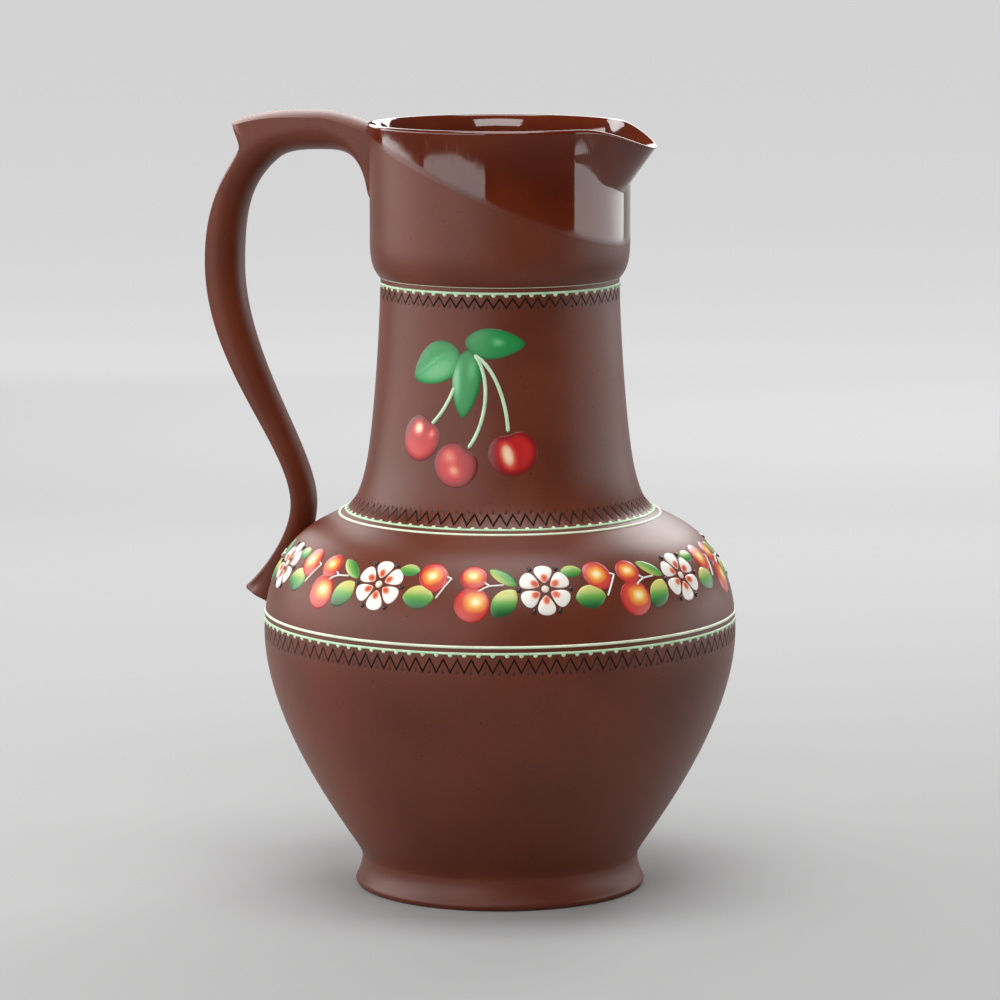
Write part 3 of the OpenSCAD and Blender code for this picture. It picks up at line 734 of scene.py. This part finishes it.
def glow(x, y, lights):
    """How strongly soft brushed lights of (x, y, width, height, strength) show at a point."""
    total = 0
    for light_x, light_y, width, height, strength in lights:
        off = ((x - light_x) / width) ** 2 + ((y - light_y) / height) ** 2
        total += strength * math.exp(-off ** light_edge)
    return min(total, 1)


def filled(x, y, fall, power=1.0):
    """How full the paint lies at a point of a drop: it thins out toward the edge."""
    return clamped(fall * (1 - math.hypot(x, y))) ** power


def enamel(name, stops, roughness):
    """Opaque enamel that runs through the colours of its stops as the paint of its points rises."""
    made = bpy.data.materials.new(name)
    made.use_nodes = True
    tree = made.node_tree
    shader = tree.nodes["Principled BSDF"]
    paint = add(tree, "Attribute", attribute_name="paint")
    tone = add(tree, "ValToRGB", {"Fac": paint.outputs["Fac"]}, stops=stops)
    tree.links.new(tone.outputs["Color"], shader.inputs["Base Color"])
    shader.inputs["Roughness"].default_value = roughness
    return made


# Cherry enamel: glossy opaque red, darker at the edge of the drop, with brushed cream lights.
cherry_red = enamel("cherry_enamel", [(0.0, "#560f11"), (1.0, "#f4dcbb"), (0.22, "#8f1214"),
                                      (0.4, "#bd2322"), (0.62, "#cf5b4c"), (0.8, "#e6ab8b")], 0.3)

fruits = bmesh.new()
paint_layer = fruits.verts.layers.float.new("paint")
for (angle, fall, turn_by, width, height), lights, shade in zip(cherry_rows, cherry_lights, cherry_shades):
    verts = drop(fruits, 40, 20)
    for vert in verts:
        x, y, share = vert.co
        from_top = math.degrees(math.atan2(x, y))
        dent = 1 - dent_depth * math.exp(-(from_top / dent_spread) ** 2)
        body = (cherry_tone + shade[0] * x + shade[1] * y) * filled(x, y, 3, 0.7)
        vert[paint_layer] = body + (light_tone - body) * glow(x, y, lights)
        x, y = turned_xy(x * dent * width * cherry_d / 2, y * dent * height * cherry_d / 2, turn_by)
        vert.co = (x, y, share)
    laid(verts, front + angle, sprig_z - fall * cherry_d)
cherries = piece("enamel_cherries", fruits, cherry_red, 180)
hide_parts("cherry_fruits")
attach(cherries, "root")


# Cherry sprig: leaves
# Three pointed leaves above the cherries, brushed in thick green enamel with a paler midrib.
sprig_leaf_rows = [(-16.1, 0.26, 122, 1.24, 0.84), (12.7, -0.2, -90, 1.28, 0.64),
                   (-0.6, 0.65, 175, 1.46, 0.62)]
sprig_leaf_lights = [[(-0.4, 0.0, 0.6, 0.8, 0.4), (0.18, 0.1, 0.08, 0.6, 0.22)],
                     [(-0.1, 0.1, 0.3, 0.2, 0.4)],
                     [(0.7, -0.1, 0.35, 0.6, 0.5), (-0.3, -0.45, 0.25, 0.3, 0.3)]]
sprig_leaf_tone = 0.32
sprig_leaf_point = 1.2
sprig_leaf_swell = -0.25

# Leaf enamel: a glossy deep green with a paler midrib, paler blue-green painted highlights and a dark edge.
leaf_green = enamel("leaf_enamel", [(0.0, "#124f27"), (1.0, "#9dcfa6"), (0.3, "#1d8440"),
                                    (0.6, "#43a061")], 0.32)


def blade(x, y, length, width, point, swell=0.0):
    """A point of the unit disc moved into a leaf of this length and width, pointed at both ends."""
    far = math.hypot(x, y)
    b = math.atan2(x, -y)
    half = width / 2 * abs(math.sin(b)) ** point * (1 - swell * math.cos(b))
    return far * math.copysign(half, math.sin(b)), -far * math.cos(b) / 2 * length


sprig_leaves = bmesh.new()
paint_layer = sprig_leaves.verts.layers.float.new("paint")
for (angle, fall, turn_by, length, width), lights in zip(sprig_leaf_rows, sprig_leaf_lights):
    verts = drop(sprig_leaves, 48, 24)
    for vert in verts:
        x, y, share = vert.co
        # The broad paler patches are painted highlights; the thin strip along the first leaf is its midrib.
        vert[paint_layer] = sprig_leaf_tone * filled(x, y, 4, 0.6) + glow(x, y, lights)
        x, y = blade(x, y, length * cherry_d, width * cherry_d, sprig_leaf_point, sprig_leaf_swell)
        x, y = turned_xy(x, y, turn_by)
        vert.co = (x, y, share)
    laid(verts, front + angle, sprig_z - fall * cherry_d)
leaves = piece("enamel_sprig_leaves", sprig_leaves, leaf_green, 180)
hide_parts("cherry_leaves")
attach(leaves, "root")


# Cherry sprig: stems
# Three stems of mint slip, each trailed in one stroke from the leaves down to its cherry.
stem_w = 1.4
stem_rows = [((-0.29, -0.72), -108, (-0.79, -1.52), -138, 0.3),
             ((0.14, -0.02), -48, (0.03, -2.0), -130, 0.62),
             ((0.14, -0.02), -28, (0.87, -1.66), -88, 0.55)]


def stroke(bm, line, width):
    """A trailed stroke along a line of (across, up) in mm: a ball drawn out, round at both ends."""
    verts = drop(bm, 10, 2 * len(line))
    for vert in verts:
        along = 0.5 + math.asin(max(min(vert.co.z, 1), -1)) / math.pi
        spread = math.hypot(vert.co.x, vert.co.y) or 1
        at = along * (len(line) - 1)
        i = min(int(at), len(line) - 2)
        centre = line[i].lerp(line[i + 1], at - i)
        ahead = (line[i + 1] - line[i]).normalized()
        ends = min(along, 1 - along) * (len(line) - 1) * (line[i + 1] - line[i]).length / (width / 2)
        full = math.sqrt(max(1 - max(1 - ends, 0) ** 2, 0))
        aside = Vector((-ahead.y, ahead.x)) * vert.co.x / spread * width / 2 * full
        vert.co = (centre.x + aside.x, centre.y + aside.y, vert.co.y / spread * full)
    return verts


stem_mesh = bmesh.new()
for start, start_dir, end, end_dir, pull in stem_rows:
    a, b = Vector(start) * cherry_d, Vector(end) * cherry_d
    line = stretch(a, start_dir, pull * cherry_d, b, end_dir, pull * cherry_d, 16)
    middle = sum(line, Vector((0, 0))) / len(line)
    angle = math.degrees(middle.x / wall_at(sprig_z + middle.y)[0])
    verts = stroke(stem_mesh, [p - middle for p in line], stem_w)
    laid(verts, front + angle, sprig_z + middle.y)
stems = piece("trailed_stems", stem_mesh, mint, 180)
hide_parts("cherry_stems")
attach(stems, "root")


# Frieze: flower petals
# Eight flowers round the shoulder, each of six petals of thick white enamel with a red-orange touch
# at the root of each petal.
flower_turns = [21.5, 64.5, 107.5, 150.5, -20.8, -63.5, -107.5, -150.5]
flower_z = 121.7
flower_r = 9.6
petals = 6
petal_in = 2.3
petal_w = 6.0
petal_swell = 0.5
spot_out = 4.2
spot_r = 1.35
spot_flat = 0.8
spot_edge = 2.4

# White enamel: warm opaque white, with a soft-edged spot of red-orange where it is touched.
white = enamel("white_enamel", [(0.0, "#e9e6df"), (1.0, "#c03a22"), (0.3, "#ead4c6"),
                                (0.6, "#dc7a55")], 0.32)

petal_mesh = bmesh.new()
paint_layer = petal_mesh.verts.layers.float.new("paint")
for at in flower_turns:
    flower = []
    for k in range(petals):
        verts = drop(petal_mesh, 24, 12)
        for vert in verts:
            x, y, share = vert.co
            x, y = blade(x, y, flower_r - petal_in, petal_w, 1, petal_swell)
            y += (flower_r + petal_in) / 2
            off = math.hypot(x, spot_flat * (y - spot_out)) / spot_r
            vert[paint_layer] = math.exp(-off ** spot_edge)
            x, y = turned_xy(x, y, 360 / petals * k)
            vert.co = (x, y, share)
        flower += verts
    laid(flower, at, flower_z)
flowers = piece("enamel_petals", petal_mesh, white, 180)
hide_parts("flower_petals")
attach(flowers, "root")


# Frieze: flower centres and beads
# A raised touch of cream in the middle of each flower, in the petals' enamel with a little of its
# red-orange, and a glossy dark bead between each two petals.
centre_r = 1.4
centre_tone = 0.28
bead_r = 0.95
bead_out = 0.97
bead_t = 0.6

# Dark enamel: near-black and very glossy, so that each bead shows one small light.
dark = bpy.data.materials.new("dark_enamel")
dark.use_nodes = True
shader = dark.node_tree.nodes["Principled BSDF"]
shader.inputs["Base Color"].default_value = linear("#24150f")
shader.inputs["Roughness"].default_value = 0.15

centre_mesh = bmesh.new()
paint_layer = centre_mesh.verts.layers.float.new("paint")
bead_mesh = bmesh.new()
for at in flower_turns:
    verts = drop(centre_mesh, 16, 10)
    for vert in verts:
        vert[paint_layer] = centre_tone
        vert.co = (vert.co.x * centre_r, vert.co.y * centre_r, vert.co.z)
    laid(verts, at, flower_z, bead_t)
    for k in range(petals):
        verts = drop(bead_mesh, 12, 8)
        x, y = turned_xy(0, bead_out * flower_r, 360 / petals * (k + 0.5))
        for vert in verts:
            vert.co = (x + vert.co.x * bead_r, y + vert.co.y * bead_r, vert.co.z)
        laid(verts, at, flower_z, bead_t)
centres = piece("trailed_flower_centres", centre_mesh, white, 180)
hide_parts("flower_centres")
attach(centres, "root")
beads = piece("enamel_beads", bead_mesh, dark, 180)
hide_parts("flower_beads")
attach(beads, "root")


# Frieze: berries
# Three berries beside each flower, brushed in red enamel with an orange glow and a cream light.
berry_rows = [(-18.3, 0.46, 0, 1.04, 1.04), (-18.4, -0.61, 0, 1.38, 1.35), (14.9, 0.44, 25, 1.27, 1.12)]
berry_lights = [(-0.05, 0.08), (0.2, 0.12), (-0.05, 0.05)]
berry_round = 2.6
berry_flat = 1.25
berry_glow = 1.08
berry_tone = 0.3
tail_clear = 166.0

# Berry enamel: red at the edge, then orange, then a soft cream-yellow light off the middle.
berry_red = enamel("berry_enamel", [(0.0, "#8e1c20"), (1.0, "#f8ecc6"), (0.12, "#b52a2a"),
                                    (0.34, "#c9473a"), (0.46, "#dd7434"), (0.66, "#e79a45"),
                                    (0.84, "#f2cf80")], 0.3)


def frieze_items(rows):
    """Each item of the frieze beside each flower, as (angle, height, row), clear of the handle's tail."""
    upright = math.cos(wall_at(flower_z)[1])
    for at in flower_turns:
        for item in rows:
            if abs(at + item[0]) < tail_clear:
                yield at + item[0], flower_z + item[1] * flower_r * upright, item


berry_mesh = bmesh.new()
paint_layer = berry_mesh.verts.layers.float.new("paint")
for angle, height, item in frieze_items(berry_rows):
    _, _, turn_by, length, width = item
    light_x, light_y = berry_lights[berry_rows.index(item)]
    verts = drop(berry_mesh, 28, 16)
    for vert in verts:
        x, y, share = vert.co
        off_x, off_y = abs(x - light_x), abs(berry_flat * (y - light_y))
        off_light = (off_x ** berry_round + off_y ** berry_round) ** (1 / berry_round)
        vert[paint_layer] = filled(x, y, 5) * max(berry_glow - off_light, berry_tone)
        x, y = turned_xy(x * width * flower_r / 2, y * length * flower_r / 2, turn_by)
        vert.co = (x, y, share)
    laid(verts, angle, height)
berries = piece("enamel_berries", berry_mesh, berry_red, 180)
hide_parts("frieze_berries")
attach(berries, "root")


# Frieze: leaves
# Four leaves beside each flower, brushed in green enamel that runs from yellow to dark green.
frieze_leaf_rows = [(-10.6, 0.48, 55, 1.23, 0.5), (-10.5, -0.54, -40, 1.31, 0.88),
                    (7.7, 0.65, -90, 0.84, 0.54), (11.7, -0.39, -88, 1.23, 0.94)]
leaf_light_dirs = [-135, 90, 90, 90]
leaf_light_reach = 0.32
leaf_tone = 0.55
leaf_point = 1.4

# Frieze leaf enamel: glossy, with a painted yellow-green highlight on the side of each leaf toward its
# light direction, through mid green to a painted dark shade on the far side.
grass_green = enamel("frieze_leaf_enamel", [(0.0, "#1c5527"), (1.0, "#c9c672"), (0.3, "#37813a"),
                                            (0.6, "#6fa44a"), (0.8, "#aebb68")], 0.32)

frieze_leaf_mesh = bmesh.new()
paint_layer = frieze_leaf_mesh.verts.layers.float.new("paint")
for angle, height, item in frieze_items(frieze_leaf_rows):
    _, _, turn_by, length, width = item
    light_dir = toward(leaf_light_dirs[frieze_leaf_rows.index(item)], 1)
    verts = drop(frieze_leaf_mesh, 28, 12)
    for vert in verts:
        x, y, share = vert.co
        x, y = turned_xy(*blade(x, y, length * flower_r, width * flower_r, leaf_point), turn_by)
        # Each leaf is painted lighter toward its light direction and darker away from it: painted highlight
        # and shade.
        lit = Vector((x, y)).dot(light_dir) / (leaf_light_reach * flower_r)
        vert[paint_layer] = clamped(leaf_tone + (1 - leaf_tone) * lit)
        vert.co = (x, y, share)
    laid(verts, angle, height)
frieze_leaves = piece("enamel_frieze_leaves", frieze_leaf_mesh, grass_green, 180)
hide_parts("frieze_leaves")
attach(frieze_leaves, "root")


# Frieze: twigs
# Short white strokes that join the berries to their leaves, trailed in white enamel.
twig_w = 0.7
twig_rows = [(-13.6, 0.18, [(0.46, 0.01), (-0.07, -0.04), (-0.26, 0.1)]),
             (-13.6, 0.18, [(-0.07, -0.04), (-0.28, -0.12), (-0.5, -0.27)]),
             (18, 0, [(0.06, 0.5), (0.26, 0.42), (-0.26, -0.42)])]

twig_mesh = bmesh.new()
for angle, height, item in frieze_items(twig_rows):
    corners = [Vector(knot) * flower_r for knot in item[2]]
    line = [a.lerp(b, k / 6) for a, b in zip(corners, corners[1:]) for k in range(6)] + corners[-1:]
    verts = stroke(twig_mesh, line, twig_w)
    laid(verts, angle, height)
twigs = piece("enamel_twigs", twig_mesh, white, 180)
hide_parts("frieze_twigs")
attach(twigs, "root")


# Studio
# A pale seamless floor, a low even light from all round and seven soft panels: two at the left, a low
# one at the right, one high in front, one above, and two behind for the shoulder and the handle's arm.
floor_half = 14.0
camera_turn = 15.0
camera_d = 1.79234
camera_h = 0.400371
camera_pitch = 81.799
view_dir = (-math.sin(math.radians(camera_turn)), math.cos(math.radians(camera_turn)))

# Pale paper floor: matt and plain, so that it takes the jug's soft shadow. Behind the jug, past the
# reach of the lamps, a glow that only the camera and reflections see keeps it as pale as in front.
pale = bpy.data.materials.new("pale_paper_floor")
pale.use_nodes = True
tree = pale.node_tree
shader = tree.nodes["Principled BSDF"]
shader.inputs["Base Color"].default_value = linear("#a6a6a6")
shader.inputs["Roughness"].default_value = 1.0
shader.inputs["Specular IOR Level"].default_value = 0.0
place = add(tree, "TexCoord").outputs["Object"]
behind = add(tree, "VectorMath", {0: place, 1: (*view_dir, 0.0)}, operation="DOT_PRODUCT")
glow_up = add(tree, "MapRange", {"Value": behind.outputs["Value"], "From Min": 0.9, "From Max": 1.7,
                                 "To Min": 0.0, "To Max": 0.62}, interpolation_type="SMOOTHSTEP")
path = add(tree, "LightPath")
mirrored = add(tree, "Math", {0: path.outputs["Is Glossy Ray"], 1: path.outputs["Is Transmission Ray"]},
               operation="MAXIMUM")
seen = add(tree, "Math", {0: path.outputs["Is Camera Ray"], 1: mirrored.outputs["Value"]},
           operation="MAXIMUM")
seen_glow = add(tree, "Math", {0: glow_up.outputs["Result"], 1: seen.outputs["Value"]},
                operation="MULTIPLY")
shader.inputs["Emission Color"].default_value = linear("#ffffff")
tree.links.new(seen_glow.outputs["Value"], shader.inputs["Emission Strength"])
floor_mesh = bmesh.new()
bmesh.ops.create_grid(floor_mesh, x_segments=1, y_segments=1, size=floor_half)
floor = piece("floor", floor_mesh, pale)

sky = bpy.data.worlds.new("studio")
sky.use_nodes = True
tree = sky.node_tree
back = tree.nodes["Background"]
back.inputs["Color"].default_value = linear("#e6e6e6")
back.inputs["Strength"].default_value = 0.1
bpy.context.scene.world = sky


def panel(name, aside, distance, along, height, width, tall, radiance, tilt=0.0):
    """A soft panel that faces the jug's axis, at an angle in degrees to the right of the camera.

    Its distance, its shift along itself, the height of its middle and its sizes are in metres. A tilt of
    90 degrees lays it flat to shine straight down.
    """
    lamp = bpy.data.lights.new(name, "AREA")
    lamp.shape = "RECTANGLE"
    lamp.size, lamp.size_y = width, tall
    lamp.energy = radiance * math.pi * width * tall
    made = bpy.data.objects.new(name, lamp)
    turned = math.radians(camera_turn - 90 + aside)
    made.location = (distance * math.cos(turned) - along * math.sin(turned),
                     distance * math.sin(turned) + along * math.cos(turned), height)
    made.rotation_euler = (math.radians(90 - tilt), 0, turned + math.radians(90))
    bpy.context.collection.objects.link(made)


panel("left_front_panel", -41, 1.1, 0.0, 0.4, 1.17, 0.6, 2.5)
panel("left_side_panel", -97, 1.1, 0.0, 0.425, 1.17, 0.6, 4.0)
panel("right_panel", 88, 1.5, 0.68, 0.231, 2.47, 0.43, 2.6)
panel("front_panel", 2, 0.95, 0.0, 1.3, 0.95, 0.42, 6.0, 47)
panel("top_panel", 2, 0.12, 0.0, 1.5, 1.0, 0.6, 7.0, 85)
panel("back_top_panel", 188, 1.2, 0.0, 0.75, 1.9, 0.6, 4.5, 25)
panel("back_right_panel", 146, 1.1, 0.0, 0.82, 0.45, 0.4, 9.0, 33)

lens = bpy.data.cameras.new("camera")
lens.lens = 178.16
lens.sensor_width = 36.0
lens.clip_end = 50.0
camera = bpy.data.objects.new("camera", lens)
camera.location = (-view_dir[0] * camera_d, -view_dir[1] * camera_d, camera_h)
camera.rotation_euler = (math.radians(camera_pitch), 0, math.radians(camera_turn))
bpy.context.collection.objects.link(camera)
bpy.context.scene.camera = camera
bpy.context.scene.view_settings.view_transform = "Standard"
